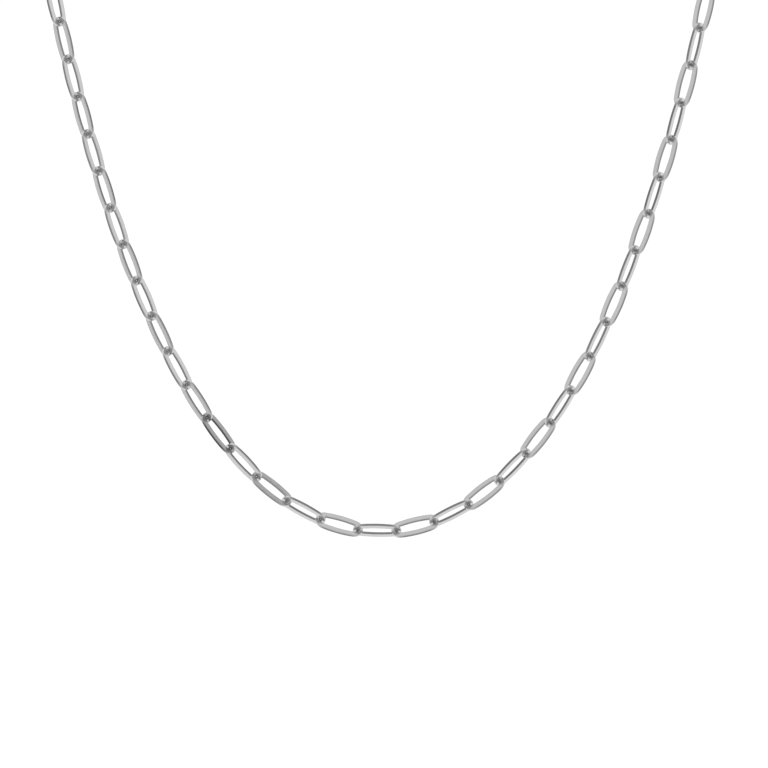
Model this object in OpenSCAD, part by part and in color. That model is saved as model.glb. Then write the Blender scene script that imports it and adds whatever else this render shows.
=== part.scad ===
/* [Necklace] */
// Length that the closed necklace comes nearest to, in whole pairs of links
necklace_l = 457; // [400:1:520]
// Width of the hanging front stretch across its top
drop_w = 104.2; // [90:0.2:116]
// Height of the hanging front stretch
drop_h = 85; // [70:1:100]
// Height of the nape above the top of the front stretch
nape_rise = 34; // [26:1:40]
// How far the lowest link sits left of the middle
lowest_left = 0.5; // [0:0.1:1.5]

/* [Neck line] */
// How far each side keeps climbing before it turns back round the neck
climb = 40; // [34:1:46]
// How far each side runs straight across the nape
nape_reach = 52; // [44:1:58]

/* [Link] */
// Length of a link over its ends
link_l = 7.98; // [7.4:0.01:8.8]
// Width of a link at its middle
link_w = 3.3; // [3:0.1:3.8]
// Outer radius of a link's round ends
link_end_r = 1.48; // [1.36:0.02:1.54]
// Width of the link's wire, across its flat face
wire_w = 0.82; // [0.72:0.01:0.86]
// Thickness of the link's wire
wire_t = 0.46; // [0.36:0.02:0.54]
// Crown of the wire's two walls, which stand out this far halfway through its thickness
wire_crown = 0.09; // [0.07:0.01:0.14]
// Free play between two links that hook into each other
link_play = 0.16; // [0.15:0.01:0.25]

/* [Turn of the links] */
// Turn of every link about the chain's line, one way and then the other
link_turn = 45; // [42:1:50]
// Extra turn that the lowest links and the right side have
right_twist = -9.5; // [-12:0.5:0]
// Extra turn that the left side has
left_twist = 2.5; // [0:0.5:4]
// First link, counted leftwards from the lowest, that has the left side's turn alone
twist_start = 5; // [3:1:10]
// Links before the clasp in which the chain turns flat to it
clasp_turn_links = 9; // [6:1:12]

/* [Clasp] */
// Length of the clasp's closed claw
claw_l = 8.4; // [7.6:0.1:10]
// Width of the claw
claw_w = 4.8; // [4.2:0.1:5.6]
// Outer radius of the claw's round ends
claw_end_r = 2; // [1.8:0.1:2.08]
// Width of the metal round the claw
claw_wire = 1; // [0.9:0.05:1.1]
// Thickness of the claw
claw_t = 0.84; // [0.7:0.02:0.9]
// Crown of the claw's walls
claw_crown = 0.3; // [0.2:0.05:0.35]
// Outer radius of the eye behind the claw
eye_r = 1.5; // [1.4:0.05:1.8]
// Width of the metal round the eye
eye_wire = 0.65; // [0.55:0.05:0.7]
// Thickness of the eye
eye_t = 0.7; // [0.6:0.02:0.76]
// Crown of the eye's walls
eye_crown = 0.15; // [0.1:0.05:0.25]
// How far the eye is sunk into the claw's end
eye_sink = 0.35; // [0.3:0.05:0.5]
// Radius of the thumb nub on the claw's side
nub_r = 0.34; // [0.24:0.02:0.36]
// Height of the nub over the claw's side
nub_h = 0.7; // [0.5:0.1:1]
// Place of the nub, from the claw's middle towards the eye
nub_back = 1.2; // [0.6:0.1:2]
// Free play between the clasp and the end links
clasp_play = 0.3; // [0.26:0.01:0.5]

/* [Hidden] */
$fn = 48;
SEGMENTS = 48;
SECANT_STEPS = 8;
SHORTEST_DEPTH = 70;
LONGEST_DEPTH = 100;
OVERRUN = 2;
SEAM_TURN = 35;
BACK = [0, 1, 0];

// Lengths that have to meet exactly are kept to a tenth of a micron
function tenth_micron(v) = round(v * 10000) / 10000;

// Distance between the joints at a link's two ends, and at the clasp's
pitch = link_l - 2 * wire_w - link_play;
clasp_l = claw_l + 2 * eye_r - eye_sink;
clasp_pitch = clasp_l - claw_wire - eye_wire - clasp_play;
side_links = round(((necklace_l - clasp_pitch) / pitch - 1) / 2);

// The front stretch is a catenary, whose parameter follows from its width and height
function cosh(v) = (exp(v) + exp(-v)) / 2;
function asinh(v) = ln(v + sqrt(v * v + 1));
function sag(a) = a * (cosh(drop_w / 2 / a) - 1);
function catenary_a(low, high, steps) =
    let (mid = (low + high) / 2)
    steps == 0 ? mid
    : sag(mid) > drop_h ? catenary_a(mid, high, steps - 1)
    : catenary_a(low, mid, steps - 1);
cat_a = catenary_a(drop_w / 20, drop_w, 40);
front_half = sqrt((drop_h + cat_a) * (drop_h + cat_a) - cat_a * cat_a);

// The right half of the hidden stretch is one Bezier curve, from the front's top to the nape
top_run = cat_a / (drop_h + cat_a);
top_rise = front_half / (drop_h + cat_a);
function neck_points(depth) = [
    [drop_w / 2, -depth, -nape_rise],
    [drop_w / 2 + climb * top_run, -depth, -nape_rise + climb * top_rise],
    [nape_reach, 0, 0],
    [0, 0, 0]
];
function bezier(p, t) =
    let (u = 1 - t)
    u * u * u * p[0] + 3 * u * u * t * p[1] + 3 * u * t * t * p[2] + t * t * t * p[3];

// Rows of length along the curve and the curve's own parameter there
function length_rows(p, n, sum, rows) =
    n == SEGMENTS ? rows
    : let (more = sum + norm(bezier(p, (n + 1) / SEGMENTS) - bezier(p, n / SEGMENTS)))
      length_rows(p, n + 1, more, concat(rows, [[more, (n + 1) / SEGMENTS]]));

// A neck line holds the Bezier's points, its table and its length
function neck_line(depth) =
    let (p = neck_points(depth))
    let (rows = length_rows(p, 0, 0, [[0, 0]]))
    [p, rows, rows[SEGMENTS][0]];

// Point of the chain's line, s along it from the lowest point, positive to the right
function right_point(line, s) =
    s <= front_half ? [
        cat_a * asinh(s / cat_a),
        line[0][0][1],
        sqrt(cat_a * cat_a + s * s) - cat_a - drop_h - nape_rise
    ]
    : bezier(line[0], lookup(s - front_half, line[1]));
function line_point(line, s) =
    let (p = right_point(line, abs(s)))
    [s < 0 ? -p[0] : p[0], p[1], p[2]];

// Next joint, one pitch away in a straight line, found in three corrections
function miss(line, from, to) = pitch - norm(line_point(line, to) - line_point(line, from));
function next_joint(line, s, way) =
    let (a = s + way * pitch)
    let (b = a + way * miss(line, s, a))
    let (c = b + way * miss(line, s, b))
    c + way * miss(line, s, c);
function walk(line, s, way, links) =
    links == 0 ? [s] : concat([s], walk(line, next_joint(line, s, way), way, links - 1));

// The depth from front to nape is the one at which the clasp fits between the end links
left_start = -lowest_left - pitch / 2;
function right_joints(line) = walk(line, next_joint(line, left_start, 1), 1, side_links);
function left_joints(line) = walk(line, left_start, -1, side_links);
function clasp_miss(depth) =
    let (line = neck_line(depth))
    let (right = line_point(line, right_joints(line)[side_links]))
    let (left = line_point(line, left_joints(line)[side_links]))
    right[0] - left[0] - clasp_pitch;
function loop_depth(d0, m0, d1, m1, steps) =
    steps == 0 || abs(m1) < 1e-7 ? d1
    : let (d2 = d1 - m1 * (d1 - d0) / (m1 - m0))
      loop_depth(d1, m1, d2, clasp_miss(d2), steps - 1);
depth = loop_depth(
    SHORTEST_DEPTH,
    clasp_miss(SHORTEST_DEPTH),
    LONGEST_DEPTH,
    clasp_miss(LONGEST_DEPTH),
    SECANT_STEPS
);
neck = neck_line(depth);
joints_right = right_joints(neck);
joints_left = left_joints(neck);

// Joint n of the chain, where link i lies between joints i and i + 1
function joint_s(n) = n > 0 ? joints_right[n - 1] : joints_left[-n];
function joint(n) = line_point(neck, joint_s(n));

// The chain's front side faces the viewer at the lowest link, and is carried along with no twist
function unit(v) = v / norm(v);
function line_way(i) = unit(joint(i + 1) - joint(i));
function square_to(x, v) = unit(v - (v * x) * x);
function carried(i, way, front) =
    abs(i) > side_links ? []
    : let (here = square_to(line_way(i), front))
      concat([here], carried(i + way, way, here));
right_fronts = carried(0, 1, [0, -1, 0]);
left_fronts = carried(-1, -1, [0, -1, 0]);
function front(i) = i < 0 ? left_fronts[-i - 1] : right_fronts[i];

// Turn of link i about the chain's line, and the slow twist that sets the end links square to the clasp
function smooth(v) = let (u = min(max(v, 0), 1)) u * u * (3 - 2 * u);
function lean(i) = i % 2 == 0 ? -link_turn : link_turn;
function extra_turn(i) =
    left_twist + (right_twist - left_twist) * smooth((i + twist_start) / (twist_start - 1));
function plain_turn(i) = lean(i) + extra_turn(i);
function half_turns(a) = 180 * round(a / 180);
function twist_left(i) =
    let (f = front(i))
    let (over = cross(line_way(i), f))
    let (miss = 90 + atan2(-over * BACK, f * BACK) - plain_turn(i))
    miss - half_turns(miss);
function turn(i) =
    let (near_clasp = smooth(1 + (abs(i) - side_links) / clasp_turn_links))
    plain_turn(i) + near_clasp * twist_left(i < 0 ? -side_links : side_links);

// Matrix of a piece between two points: its X runs from one to the other, its Z is its flat side
function laid(from, to, front, turned) =
    let (x = unit(to - from))
    let (f = square_to(x, front))
    let (z = cos(turned) * f - sin(turned) * cross(x, f))
    let (y = cross(z, x))
    let (mid = (from + to) / 2)
    [
        [x[0], y[0], z[0], mid[0]],
        [x[1], y[1], z[1], mid[1]],
        [x[2], y[2], z[2], mid[2]],
        [0, 0, 0, 1]
    ];

// Section of filed wire: flat front and back, its two walls crowned, from the radius r outwards
module wire_section(r, w, t, crown) {
    polygon([
        [r + crown, -t / 2],
        [r + w - crown, -t / 2],
        [r + w, 0],
        [r + w - crown, t / 2],
        [r + crown, t / 2],
        [r, 0]
    ]);
}

// One corner of a flat oval of wire, whose side's arc runs over into the end's arc, cut square
module oval_corner(l, w, end_r, wire, t, crown) {
    end_x = l / 2 - end_r;
    side_r = tenth_micron((end_x * end_x + w * w / 4 - end_r * end_r) / (w - 2 * end_r));
    side_a = atan2(end_x, side_r - w / 2);
    intersection() {
        translate([end_x, 0, 0])
            rotate([0, 0, 90 - side_a]) {
                mirror([0, 1, 0])
                    rotate_extrude(angle = 90 - side_a + OVERRUN)
                        wire_section(end_r - wire, wire, t, crown);
                translate([end_r - side_r, 0, 0])
                    rotate_extrude(angle = side_a + OVERRUN)
                        wire_section(side_r - wire, wire, t, crown);
            }
        translate([0, 0, -t])
            cube([l, w, 2 * t]);
    }
}

// Flat oval of wire in four tangent arcs, its length along X
module oval(l, w, end_r, wire, t, crown) {
    module half() {
        oval_corner(l, w, end_r, wire, t, crown);
        mirror([0, 1, 0])
            oval_corner(l, w, end_r, wire, t, crown);
    }
    half();
    mirror([1, 0, 0])
        half();
}

module link() {
    oval(link_l, link_w, link_end_r, wire_w, wire_t, wire_crown);
}

// The whole chain: links hooked into each other at right angles, open at the nape
module chain() {
    color("silver")
        for (i = [-side_links : side_links])
            multmatrix(laid(joint(i), joint(i + 1), front(i), turn(i)))
                link();
}

// The plain closed clasp: a claw, and an eye behind it, lying flat across the nape
module clasp() {
    claw_x = (clasp_pitch + clasp_play) / 2 + claw_wire - claw_l / 2;
    eye_x = -(clasp_pitch + clasp_play) / 2 - eye_wire + eye_r;
    color("silver")
        multmatrix(laid(joint(side_links + 1), joint(-side_links), BACK, 0)) {
            translate([claw_x, 0, 0])
                oval(claw_l, claw_w, claw_end_r, claw_wire, claw_t, claw_crown);
            translate([eye_x, 0, 0])
                rotate_extrude()
                    wire_section(eye_r - eye_wire, eye_wire, eye_t, eye_crown);
            translate([claw_x - nub_back, claw_w / 2 - claw_wire / 2, 0])
                rotate([-90, SEAM_TURN, 0])
                    cylinder(r = nub_r, h = claw_wire / 2 + nub_h);
        }
}

chain();
clasp();
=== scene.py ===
import bpy
import numpy as np
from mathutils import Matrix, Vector


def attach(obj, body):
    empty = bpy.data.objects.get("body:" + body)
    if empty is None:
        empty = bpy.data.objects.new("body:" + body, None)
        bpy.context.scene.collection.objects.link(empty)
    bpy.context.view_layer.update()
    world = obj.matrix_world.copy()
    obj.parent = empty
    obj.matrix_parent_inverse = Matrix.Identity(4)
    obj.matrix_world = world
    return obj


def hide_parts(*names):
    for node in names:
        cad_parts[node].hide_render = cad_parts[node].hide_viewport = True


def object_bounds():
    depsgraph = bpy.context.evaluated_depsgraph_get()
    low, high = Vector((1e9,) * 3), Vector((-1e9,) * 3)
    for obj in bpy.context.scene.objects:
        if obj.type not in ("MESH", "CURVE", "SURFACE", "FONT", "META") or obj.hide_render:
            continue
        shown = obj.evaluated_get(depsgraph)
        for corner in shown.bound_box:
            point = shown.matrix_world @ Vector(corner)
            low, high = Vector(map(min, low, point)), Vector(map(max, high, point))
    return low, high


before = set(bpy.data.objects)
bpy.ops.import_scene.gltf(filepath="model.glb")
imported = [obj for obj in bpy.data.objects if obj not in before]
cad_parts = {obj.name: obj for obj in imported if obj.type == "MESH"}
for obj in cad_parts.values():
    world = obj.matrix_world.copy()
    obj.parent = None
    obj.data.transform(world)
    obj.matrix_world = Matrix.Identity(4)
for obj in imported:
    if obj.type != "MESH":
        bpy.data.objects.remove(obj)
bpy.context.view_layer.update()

# Links of the chain
# Each link is one oval of silver wire, bent and soldered shut, then filed flat on both faces. Every
# link is hooked through the next and hangs turned nearly a quarter from it. A link is 7.8 x 3.3 mm.
MM = 0.001
LINK_WIDTH = 3.3 * MM
LINK_END_RADIUS = 1.47 * MM
WIRE_WIDTH = 0.76 * MM
SIDE_WIDTH = 0.87 * MM
WIRE_THICKNESS = 0.44 * MM
WIRE_EDGE = 0.06 * MM
WALL_CROWN = 0.04 * MM
HOOK_PLAY = 0.1 * MM
SAME_PLACE = 0.005 * MM
FINISH_STEP = 7.3
SILVER = (0.86, 0.86, 0.865)
# The dark colour that painted shade and tarnishing pull the silver towards.
SHADE_AND_TARNISH_COLOUR = (0.06, 0.06, 0.062)
# Painted shade on the walls of the wire, lighter on the inside of the tips.
WALL_PAINTED_SHADE = 0.74
TIP_PAINTED_SHADE = 0.44
# Painted shade together with tarnishing inside the tips, where the next link hangs.
HOOK_SHADE_AND_TARNISH = 0.85
# The bands along both edges of the wire are made a little darker.
RIM_DARKENING = 0.07
FACE_TARNISH = 0.07
# How much the painted shade and tarnishing vary from link to link, by a sine of the link's number.
SHADE_AND_TARNISH_SPREAD = 0.15
LINK_WAVE = 2.4
TIP_REACH = 0.8 * MM
HOOK_REACH = 0.6 * MM
DARK_LINK = 5
DARK_LINK_TARNISH = 0.36


def loose_solids(node):
    """Splits a node's triangles into its solids: corners at one place are one point, and each point
    takes the lowest number among the points that its triangles reach, until nothing changes."""
    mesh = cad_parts[node].data
    places = np.empty(len(mesh.vertices) * 3)
    mesh.vertices.foreach_get("co", places)
    mesh.calc_loop_triangles()
    corners = np.empty(len(mesh.loop_triangles) * 3, int)
    mesh.loop_triangles.foreach_get("vertices", corners)
    places = places.reshape(-1, 3)
    cells = np.round(places / SAME_PLACE)
    _, first, point = np.unique(cells, axis=0, return_index=True, return_inverse=True)
    triangles = point.ravel()[corners.reshape(-1, 3)]
    label = np.arange(len(first))
    while True:
        lowest = label[triangles].min(axis=1)
        new = label.copy()
        for side in range(3):
            np.minimum.at(new, triangles[:, side], lowest)
        if (new == label).all():
            break
        label = new
    home = label[triangles[:, 0]]
    return [places[first][triangles[home == number]] for number in np.unique(home)]


def own_axes(triangles):
    """Middle and axes of a symmetric solid: the area-weighted mean of its surface, and the directions
    in which the surface spreads most, less and least, as the rows of a right-handed matrix."""
    sides = triangles[:, 1:] - triangles[:, :1]
    area = np.linalg.norm(np.cross(sides[:, 0], sides[:, 1]), axis=1)
    middle = (triangles.mean(axis=1) * area[:, None]).sum(axis=0) / area.sum()
    away = triangles - middle
    total = away.sum(axis=1)
    spread = np.einsum("t,tki,tkj->ij", area, away, away) + np.einsum("t,ti,tj->ij", area, total, total)
    _, axes = np.linalg.eigh(spread)
    axes = axes.T[::-1].copy()
    axes[2] = np.cross(axes[0], axes[1])
    return middle, axes


def round_the_loop(middles):
    """Walks the loop from the first middle to the nearest one that is left, and so on round, and then
    begins it anew after its widest step, which is the one over the clasp."""
    order, left = [0], set(range(1, len(middles)))
    while left:
        nearest = min(left, key=lambda n: np.linalg.norm(middles[n] - middles[order[-1]]))
        order.append(nearest)
        left.remove(nearest)
    walked = middles[order]
    step_to = np.linalg.norm(walked - np.roll(walked, 1, axis=0), axis=1)
    return np.roll(order, -int(np.argmax(step_to)))


def oval_line(length, width, end_radius, steps):
    """Outer outline of a link: two long arcs for the sides and two short ones for the ends, each
    tangent to the next. Gives its points and the way out of the oval at each."""
    end_x = length / 2 - end_radius
    side_radius = (end_x ** 2 + width ** 2 / 4 - end_radius ** 2) / (width - 2 * end_radius)
    side_half = np.arctan2(end_x, side_radius - width / 2)
    end_half = np.pi / 2 - side_half
    end_steps, side_steps = steps
    end_angles = np.linspace(-end_half, end_half, end_steps, endpoint=False)
    side_angles = np.pi / 2 + np.linspace(-side_half, side_half, side_steps, endpoint=False)
    angle = np.concatenate([end_angles, side_angles])
    radius = np.repeat([end_radius, side_radius], [end_steps, side_steps])
    centre_x = np.repeat([end_x, 0], [end_steps, side_steps])
    centre_y = np.repeat([0, width / 2 - side_radius], [end_steps, side_steps])
    outward = np.stack([np.cos(angle), np.sin(angle)], axis=1)
    half = np.stack([centre_x, centre_y], axis=1) + radius[:, None] * outward
    return np.concatenate([half, -half]), np.concatenate([outward, -outward])


def filed_section(width, thickness, crown, edge, steps):
    """Section of filed wire: two flat faces and two walls that are shallow arcs, with each corner
    rounded off by a small quarter circle, and a row along the middle of each face. Each row is the
    way in from the outer wall and the way up, and the second result is the direction that the metal
    faces there."""
    radius = (thickness ** 2 / 4 + crown ** 2) / (2 * crown)
    last = np.arcsin((thickness / 2 - edge) / (radius - edge))
    wall_steps, edge_steps = steps
    wall = np.linspace(0, last, wall_steps, endpoint=False)
    corner = np.linspace(last, np.pi / 2, edge_steps)
    angle = np.concatenate([wall, corner])
    centre_in = np.where(angle < last, radius, radius - (radius - edge) * np.cos(last))
    centre_up = np.where(angle < last, 0, thickness / 2 - edge)
    arm = np.where(angle < last, radius, edge)
    facing = np.stack([-np.cos(angle), np.sin(angle)], axis=1)
    quarter = np.stack([centre_in, centre_up], axis=1) + arm[:, None] * facing
    mirrored = quarter * (-1, 1) + (width, 0)
    half = np.concatenate([quarter, [(width / 2, thickness / 2)], mirrored[::-1]])
    half_facing = np.concatenate([facing, [(0, 1)], (facing * (-1, 1))[::-1]])
    points = np.concatenate([half, (half * (1, -1))[-2:0:-1]])
    return points, np.concatenate([half_facing, (half_facing * (1, -1))[-2:0:-1]])


def carried_section(outline, outward, section, facing, widened=1):
    """Carries the section along the outline: a ring of points for each point of the outline, set in
    from it against its outward direction and widened by that ring's own factor. Gives the points,
    the way each faces, and the faces' corners."""
    rings, around = len(outline), len(section)
    way_in = section[None, :, 0] * np.broadcast_to(widened, rings)[:, None]
    flat = outline[:, None, :] - way_in[:, :, None] * outward[:, None, :]
    flat_facing = -facing[None, :, :1] * outward[:, None, :]
    height = np.broadcast_to(section[None, :, 1:], (rings, around, 1))
    height_facing = np.broadcast_to(facing[None, :, 1:], (rings, around, 1))
    points = np.concatenate([flat, height], axis=2).reshape(-1, 3)
    normals = np.concatenate([flat_facing, height_facing], axis=2).reshape(-1, 3)
    ring, step = np.meshgrid(np.arange(rings), np.arange(around), indexing="ij")
    after, beside = (ring + 1) % rings, (step + 1) % around
    start, end = ring * around, after * around
    corners = np.stack([start + step, end + step, end + beside, start + beside], axis=-1)
    return points, normals, corners.reshape(-1, 4)


def painted_shade_and_tarnish(outline, section, facing, middles):
    """How much each point of each link is darkened. The walls carry painted shade, darkest where they
    face straight sideways, lighter on the inside of the tips and left off their outside, and the bands
    along both edges of the wire are a little darker. Inside, where the next link hangs, the tips are
    darkest: painted shade of the hook together with tarnishing. Links differ in how dark they are, by a
    sine of their number, and the dark link, counted leftwards from the lowest one, is darkened most."""
    from_tip = np.abs(outline[:, :1]).max() - np.abs(outline[:, :1])
    at_tip = np.clip(2 - from_tip / TIP_REACH, 0, 1)
    at_hook = np.clip(1 - from_tip / HOOK_REACH, 0, 1)
    # Painted shade on the walls, darkest where they face straight sideways; lighter on the inside of the
    # tips and left off their outside.
    on_wall = (1 - np.abs(facing[:, 1])) ** 3
    # The bands along both edges of the wire, which are made a little darker.
    on_rim = np.abs(section[:, 0] - WIRE_WIDTH / 2) > WIRE_WIDTH / 4
    on_inside = section[:, 0] > 0.75 * WIRE_WIDTH
    tip_shade = np.where(on_inside, TIP_PAINTED_SHADE, 0)
    wall_shade = on_wall * (WALL_PAINTED_SHADE + (tip_shade - WALL_PAINTED_SHADE) * at_tip)
    # Inside the tips, where the next link hangs, painted shade of the hook together with tarnishing.
    painted_shade_and_film = np.maximum(wall_shade + RIM_DARKENING * on_rim, HOOK_SHADE_AND_TARNISH * at_hook * on_inside)
    wave = np.sin(LINK_WAVE * np.arange(len(middles)))[:, None]
    dull = painted_shade_and_film.ravel() * (1 + SHADE_AND_TARNISH_SPREAD * wave) + FACE_TARNISH * (0.5 - 0.5 * wave)
    lowest = np.argmin(middles[:, 2])
    leftwards = int(np.sign(middles[lowest - 1, 0] - middles[lowest + 1, 0]))
    dull[lowest + leftwards * DARK_LINK] += DARK_LINK_TARNISH
    return dull


def mesh_piece(name, points, normals, faces, own_place, dull):
    """A smooth piece of the necklace from its points, the way they face, and its faces, which come as
    arrays with a row for each face. For the finish to read it keeps each point's place on its own part,
    in millimetres, and how far painted shade and tarnishing darken the metal there, from 0 to 1."""
    mesh = bpy.data.meshes.new(name)
    corners = np.concatenate([rows.ravel() for rows in faces])
    counts = np.concatenate([np.full(len(rows), rows.shape[1]) for rows in faces])
    mesh.vertices.add(len(points))
    mesh.vertices.foreach_set("co", points.astype(np.float32).ravel())
    mesh.loops.add(len(corners))
    mesh.loops.foreach_set("vertex_index", corners.astype(np.int32))
    mesh.polygons.add(len(counts))
    mesh.polygons.foreach_set("loop_start", (np.cumsum(counts) - counts).astype(np.int32))
    mesh.polygons.foreach_set("use_smooth", np.ones(len(counts), bool))
    mesh.update(calc_edges=True)
    mesh.validate()
    mesh.normals_split_custom_set_from_vertices(normals)
    place = mesh.attributes.new("own_place", "FLOAT_VECTOR", "POINT")
    place.data.foreach_set("vector", own_place.astype(np.float32).ravel())
    shade_and_tarnish_layer = mesh.attributes.new("dull", "FLOAT", "POINT")
    shade_and_tarnish_layer.data.foreach_set("value", dull.astype(np.float32).ravel())
    piece = bpy.data.objects.new(name, mesh)
    bpy.context.scene.collection.objects.link(piece)
    return piece


class Tone:
    """One socket of a finish. Sums, differences and products of tones add the Math nodes for them."""

    def __init__(self, tree, socket):
        self.tree = tree
        self.socket = socket

    def node(self, kind, settings, sockets, out=0):
        """Adds a node of this kind: its settings are set first, then its sockets' values or links."""
        made = self.tree.nodes.new(kind)
        for name, value in settings.items():
            if name == "stops":
                while len(made.color_ramp.elements) < len(value):
                    made.color_ramp.elements.new(0.5)
                for element, (place, grey) in zip(made.color_ramp.elements, value):
                    element.position = place
                    element.color = (grey, grey, grey, 1)
            else:
                setattr(made, name, value)
        for name, value in sockets.items():
            if isinstance(value, Tone):
                self.tree.links.new(value.socket, made.inputs[name])
            else:
                made.inputs[name].default_value = value
        return Tone(self.tree, made.outputs[out])

    def _math(self, operation, first, second):
        return self.node("ShaderNodeMath", {"operation": operation}, {0: first, 1: second})

    def __add__(self, other):
        return self._math("ADD", self, other)

    def __radd__(self, other):
        return self._math("ADD", other, self)

    def __sub__(self, other):
        return self._math("SUBTRACT", self, other)

    def __rsub__(self, other):
        return self._math("SUBTRACT", other, self)

    def __mul__(self, other):
        return self._math("MULTIPLY", self, other)

    def __rmul__(self, other):
        return self._math("MULTIPLY", other, self)


def silver_finish(name, roughness, file_lines):
    """Bright silver that darkens by the painted shade and tarnishing that each point carries: soft
    clouds of handling in the colour and the gloss, fine polishing lines along each part, and tiny dents
    from wear in the bump."""
    material = bpy.data.materials.new(name)
    material.use_nodes = True
    tree = material.node_tree
    shader = tree.nodes["Principled BSDF"]
    start = Tone(tree, None)
    place = start.node("ShaderNodeAttribute", {"attribute_name": "own_place"}, {}, out="Vector")
    dull = start.node("ShaderNodeAttribute", {"attribute_name": "dull"}, {}, out="Fac")
    stretched = start.node("ShaderNodeMapping", {}, {"Vector": place, "Scale": (0.5, 14, 14)})
    lines = start.node("ShaderNodeTexNoise", {},
                       {"Vector": stretched, "Scale": 1.6, "Detail": 3.0, "Roughness": 0.6})
    clouds = start.node("ShaderNodeTexNoise", {},
                        {"Vector": place, "Scale": 0.9, "Detail": 4.0, "Roughness": 0.55})
    dents = start.node("ShaderNodeTexNoise", {},
                       {"Vector": place, "Scale": 4.5, "Detail": 2.0, "Roughness": 0.5})
    # The silver darkens by the painted shade and tarnishing at each point.
    shade = (0.92 + 0.14 * clouds) - dull
    colour = start.node("ShaderNodeMix", {"data_type": "RGBA", "blend_type": "MIX"},
                        {0: shade, 6: (*SHADE_AND_TARNISH_COLOUR, 1), 7: (*SILVER, 1)}, out=2)
    gloss = roughness + 0.10 * clouds + 0.06 * lines
    height = file_lines * lines + 0.6 * dents
    bump = start.node("ShaderNodeBump", {}, {"Strength": 0.5, "Distance": 0.008 * MM, "Height": height})
    for socket, tone in (("Base Color", colour), ("Roughness", gloss), ("Normal", bump)):
        tree.links.new(tone.socket, shader.inputs[socket])
    shader.inputs["Metallic"].default_value = 1.0
    return material


plain_links = [own_axes(solid) for solid in loose_solids("chain")]
order = round_the_loop(np.array([middle for middle, _ in plain_links]))
middles = np.array([middle for middle, _ in plain_links])[order]
axes = np.array([rows for _, rows in plain_links])[order]
# Where the chain runs straight the links' middles are a full pitch apart, and nearer where it bends.
pitch = np.percentile(np.linalg.norm(np.diff(middles, axis=0), axis=1), 90)
link_length = pitch + 2 * WIRE_WIDTH + HOOK_PLAY
outline, outward = oval_line(link_length, LINK_WIDTH, LINK_END_RADIUS, steps=(18, 10))
towards_tip = np.clip(np.abs(outline[:, 0]) / (link_length / 2), 0, 1)
widened = 1 + (SIDE_WIDTH / WIRE_WIDTH - 1) * (1 - towards_tip ** 4)
section, facing = filed_section(WIRE_WIDTH, WIRE_THICKNESS, WALL_CROWN, WIRE_EDGE, steps=(2, 3))
link_points, link_normals, link_faces = carried_section(outline, outward, section, facing, widened)
link_count, points_each = len(middles), len(link_points)
all_points = np.einsum("pk,nki->npi", link_points, axes) + middles[:, None, :]
all_normals = np.einsum("pk,nki->npi", link_normals, axes)
all_faces = link_faces[None] + (np.arange(link_count) * points_each)[:, None, None]
# Each link reads the finish this many millimetres further on, so that no two have the same marks.
own_place = link_points[None] / MM + np.arange(link_count)[:, None, None] * (0, 0, FINISH_STEP)
# Painted shade and tarnishing for each point of the links.
dull = painted_shade_and_tarnish(outline, section, facing, middles)

chain = mesh_piece("chain_links", all_points.reshape(-1, 3), all_normals.reshape(-1, 3),
                   [all_faces.reshape(-1, 4)], own_place, dull)
chain.data.materials.append(silver_finish("link_silver", roughness=0.12, file_lines=0.8))
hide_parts("chain")
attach(chain, "root")

# Clasp
# A plain claw with an eye behind it and a thumb nub on its side, cast in silver and tumbled smooth.
# It is closed, and lies flat on the nape between the two end links. The metal of claw and eye is
# given as its width, its thickness, the crown of its walls and the rounding of its edges.
CLAW_LENGTH = 8.4 * MM
CLAW_WIDTH = 4.8 * MM
CLAW_END_RADIUS = 2 * MM
CLAW_METAL = (1 * MM, 0.84 * MM, 0.3 * MM, 0.1 * MM)
EYE_RADIUS = 1.5 * MM
EYE_METAL = (0.65 * MM, 0.7 * MM, 0.15 * MM, 0.08 * MM)
EYE_STEPS = 72
NUB_RADIUS = 0.34 * MM
NUB_HEIGHT = 1.2 * MM
NUB_BACK = 1.2 * MM
CLASP_PLAY = 0.3 * MM


def round_nub(radius, height, steps, around):
    """A post with a round top: rings whose radius follows the post's side and then a quarter circle,
    closed by one point below and one above. Gives points, the way they face, quads and triangles."""
    angle = np.linspace(0, np.pi / 2, steps, endpoint=False)
    ring_radius = radius * np.concatenate([[1], np.cos(angle)])
    ring_height = np.concatenate([[0], height - radius + radius * np.sin(angle)])
    tilt = np.concatenate([[0], angle])
    turn = np.linspace(0, 2 * np.pi, around, endpoint=False)
    around_way = np.stack([np.cos(turn), np.sin(turn), 0 * turn], axis=1)
    up = np.array([0, 0, 1])
    rings = ring_radius[:, None, None] * around_way + ring_height[:, None, None] * up
    facing = np.cos(tilt)[:, None, None] * around_way + np.sin(tilt)[:, None, None] * up
    points = np.concatenate([rings.reshape(-1, 3), [0 * up, height * up]])
    normals = np.concatenate([facing.reshape(-1, 3), [-up, up]])
    first = np.arange(around)
    second = (first + 1) % around
    start = np.arange(len(ring_radius) - 1)[:, None] * around
    end = start + around
    quads = np.stack([start + first, start + second, end + second, end + first], axis=-1)
    low_point, high_point = len(points) - 2, len(points) - 1
    last = (len(ring_radius) - 1) * around
    below = np.stack([second, first, np.full(around, low_point)], axis=-1)
    above = np.stack([last + first, last + second, np.full(around, high_point)], axis=-1)
    return points, normals, quads.reshape(-1, 4), np.concatenate([below, above])


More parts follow.
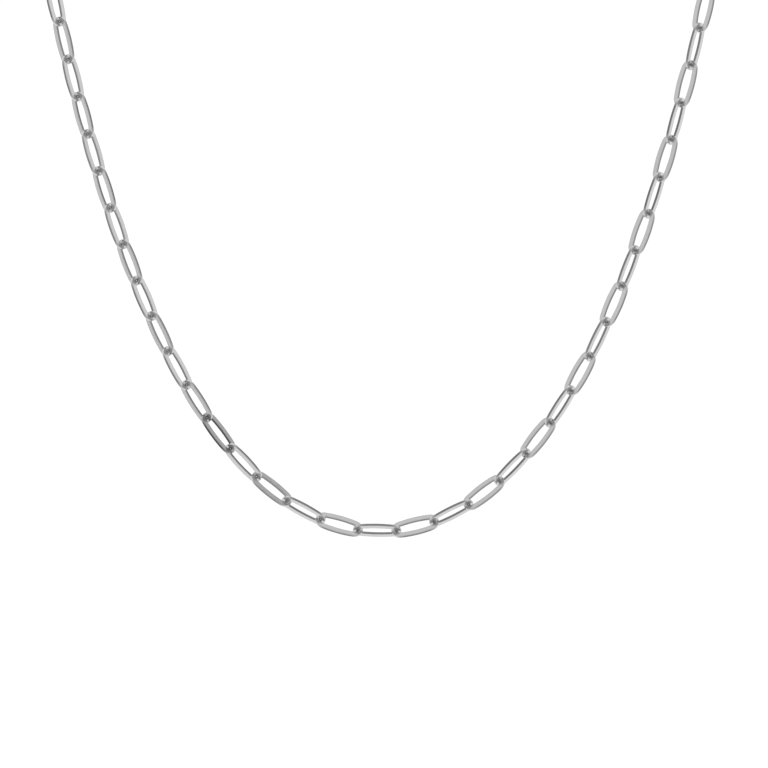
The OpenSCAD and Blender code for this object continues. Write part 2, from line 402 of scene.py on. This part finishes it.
across_clasp = middles[-1] - middles[0]
first_way = axes[0, 0] * np.sign(axes[0, 0] @ across_clasp)
last_way = -axes[-1, 0] * np.sign(axes[-1, 0] @ across_clasp)
ends = [middles[0] + first_way * pitch / 2, middles[-1] + last_way * pitch / 2]
from_end, to_end = sorted(ends, key=lambda end: -end[0])
clasp_x = (to_end - from_end) / np.linalg.norm(to_end - from_end)
clasp_y = np.cross([0, 1, 0], clasp_x) / np.linalg.norm(np.cross([0, 1, 0], clasp_x))
clasp_axes = np.array([clasp_x, clasp_y, np.cross(clasp_x, clasp_y)])
half_pitch = (np.linalg.norm(to_end - from_end) + CLASP_PLAY) / 2
claw_x = half_pitch + CLAW_METAL[0] - CLAW_LENGTH / 2
eye_x = EYE_RADIUS - half_pitch - EYE_METAL[0]

claw_outline, claw_outward = oval_line(CLAW_LENGTH, CLAW_WIDTH, CLAW_END_RADIUS, steps=(40, 24))
claw_points, claw_normals, claw_faces = carried_section(
    claw_outline, claw_outward, *filed_section(*CLAW_METAL, steps=(7, 5)))
eye_turn = np.linspace(0, 2 * np.pi, EYE_STEPS, endpoint=False)
eye_outward = np.stack([np.cos(eye_turn), np.sin(eye_turn)], axis=1)
eye_points, eye_normals, eye_faces = carried_section(
    EYE_RADIUS * eye_outward, eye_outward, *filed_section(*EYE_METAL, steps=(7, 5)))
nub_points, nub_normals, nub_quads, nub_triangles = round_nub(NUB_RADIUS, NUB_HEIGHT, steps=8, around=32)
stood_up = np.array([[1, 0, 0], [0, 0, -1], [0, 1, 0]])
nub_points = nub_points @ stood_up + (claw_x - NUB_BACK, CLAW_WIDTH / 2 - CLAW_METAL[0] / 2, 0)
clasp_points = np.concatenate([claw_points + (claw_x, 0, 0), eye_points + (eye_x, 0, 0), nub_points])
clasp_normals = np.concatenate([claw_normals, eye_normals, nub_normals @ stood_up])
eye_start, nub_start = len(claw_points), len(claw_points) + len(eye_points)
clasp_quads = np.concatenate([claw_faces, eye_faces + eye_start, nub_quads + nub_start])
clasp_middle = (from_end + to_end) / 2
clasp = mesh_piece("clasp_body", clasp_points @ clasp_axes + clasp_middle, clasp_normals @ clasp_axes,
                   [clasp_quads, nub_triangles + nub_start], clasp_points / MM, 0 * clasp_points[:, 0])
clasp.data.materials.append(silver_finish("clasp_silver", roughness=0.16, file_lines=0.3))
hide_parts("clasp")
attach(clasp, "root")

# Floor
# A wide white sheet under the necklace, lower than the picture reaches. It glows a little, which
# keeps it white from every side, and the silver doesn't mirror it.
FLOOR_DROP = 0.25
FLOOR_REACH = 4.0
low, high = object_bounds()
floor_z = low[2] - FLOOR_DROP
floor_mesh = bpy.data.meshes.new("floor")
floor_sides = ((-1, -1), (1, -1), (1, 1), (-1, 1))
floor_corners = [(x * FLOOR_REACH, y * FLOOR_REACH, floor_z) for x, y in floor_sides]
floor_mesh.from_pydata(floor_corners, [], [(0, 1, 2, 3)])
floor = bpy.data.objects.new("floor", floor_mesh)
bpy.context.scene.collection.objects.link(floor)
paper = bpy.data.materials.new("white_paper")
paper.use_nodes = True
paper_shader = paper.node_tree.nodes["Principled BSDF"]
paper_shader.inputs["Base Color"].default_value = (0.95, 0.95, 0.95, 1)
paper_shader.inputs["Roughness"].default_value = 0.9
paper_shader.inputs["Emission Color"].default_value = (1, 1, 1, 1)
paper_shader.inputs["Emission Strength"].default_value = 0.7
floor_mesh.materials.append(paper)
floor.visible_glossy = False

# Studio light
# What the silver mirrors is dim behind the camera, brighter towards the sides, with one dark gap there,
# then white sheets, and grey straight behind. The left is a trifle brighter than the right. The
# camera itself sees plain white.
BRIGHTNESS_BY_DEPTH = (
    (-1.0, 0.35), (-0.75, 0.4), (-0.5, 0.62), (-0.24, 0.69), (-0.18, 0.33), (-0.1, 0.33),
    (-0.04, 0.8), (0.45, 0.83), (0.7, 0.86), (0.8, 0.95), (0.86, 0.62), (1.0, 0.5),
)
world = bpy.data.worlds.new("studio")
bpy.context.scene.world = world
world.use_nodes = True
tree = world.node_tree
tree.nodes.clear()
start = Tone(tree, None)
way = start.node("ShaderNodeTexCoord", {}, {}, out="Generated")
across = start.node("ShaderNodeSeparateXYZ", {}, {"Vector": way}, out="X")
depth = start.node("ShaderNodeSeparateXYZ", {}, {"Vector": way}, out="Y")
stops = [((y + 1) / 2, grey) for y, grey in BRIGHTNESS_BY_DEPTH]
room = start.node("ShaderNodeValToRGB", {"stops": stops}, {"Fac": depth * 0.5 + 0.5})
light = start.node("ShaderNodeBackground", {}, {"Color": room, "Strength": 1.0 - 0.02 * across})
white = start.node("ShaderNodeBackground", {}, {"Color": (1, 1, 1, 1), "Strength": 1.05})
seen = start.node("ShaderNodeLightPath", {}, {}, out="Is Camera Ray")
both = start.node("ShaderNodeMixShader", {}, {0: seen, 1: light, 2: white})
out = tree.nodes.new("ShaderNodeOutputWorld")
tree.links.new(both.socket, out.inputs["Surface"])
bpy.context.scene.view_settings.view_transform = "Standard"


def soft_light(name, away, size, watts):
    """A square soft light this far from the necklace's middle, turned to face it. The silver doesn't
    mirror it."""
    lamp = bpy.data.lights.new(name, "AREA")
    lamp.size = size
    lamp.energy = watts
    fitting = bpy.data.objects.new(name, lamp)
    fitting.location = (low + high) / 2 + Vector(away)
    fitting.rotation_mode = "QUATERNION"
    fitting.rotation_quaternion = Vector(away).to_track_quat("Z", "Y")
    fitting.visible_glossy = False
    bpy.context.scene.collection.objects.link(fitting)


soft_light("key_light", (-0.9, -0.9, 1.2), size=0.8, watts=0.8)
soft_light("top_light", (0.3, 0.3, 1.6), size=1.2, watts=1.2)

# Camera
# Level with the middle of the picture and square to the hanging front, far away behind a long lens.
# The necklace's middle and the height of its lowest link fall where the photograph has them.
PICTURE_PIXELS = 768
MM_PER_PIXEL = 0.16
LOWEST_PIXEL = (380.17, 530.25)
CAMERA_AWAY = 0.8
SENSOR = 36.0
front_y = middles[np.argmin(middles[:, 2]), 1]
lowest_z = middles[:, 2].min()
camera_data = bpy.data.cameras.new("camera")
camera_data.sensor_width = SENSOR
camera_data.lens = SENSOR * CAMERA_AWAY / (PICTURE_PIXELS * MM_PER_PIXEL * MM)
camera = bpy.data.objects.new("camera", camera_data)
middle_pixel = PICTURE_PIXELS / 2
camera.location = (
    (middle_pixel - LOWEST_PIXEL[0]) * MM_PER_PIXEL * MM,
    front_y - CAMERA_AWAY,
    lowest_z + (LOWEST_PIXEL[1] - middle_pixel) * MM_PER_PIXEL * MM,
)
camera.rotation_euler = (np.pi / 2, 0, 0)
bpy.context.scene.collection.objects.link(camera)
bpy.context.scene.camera = camera
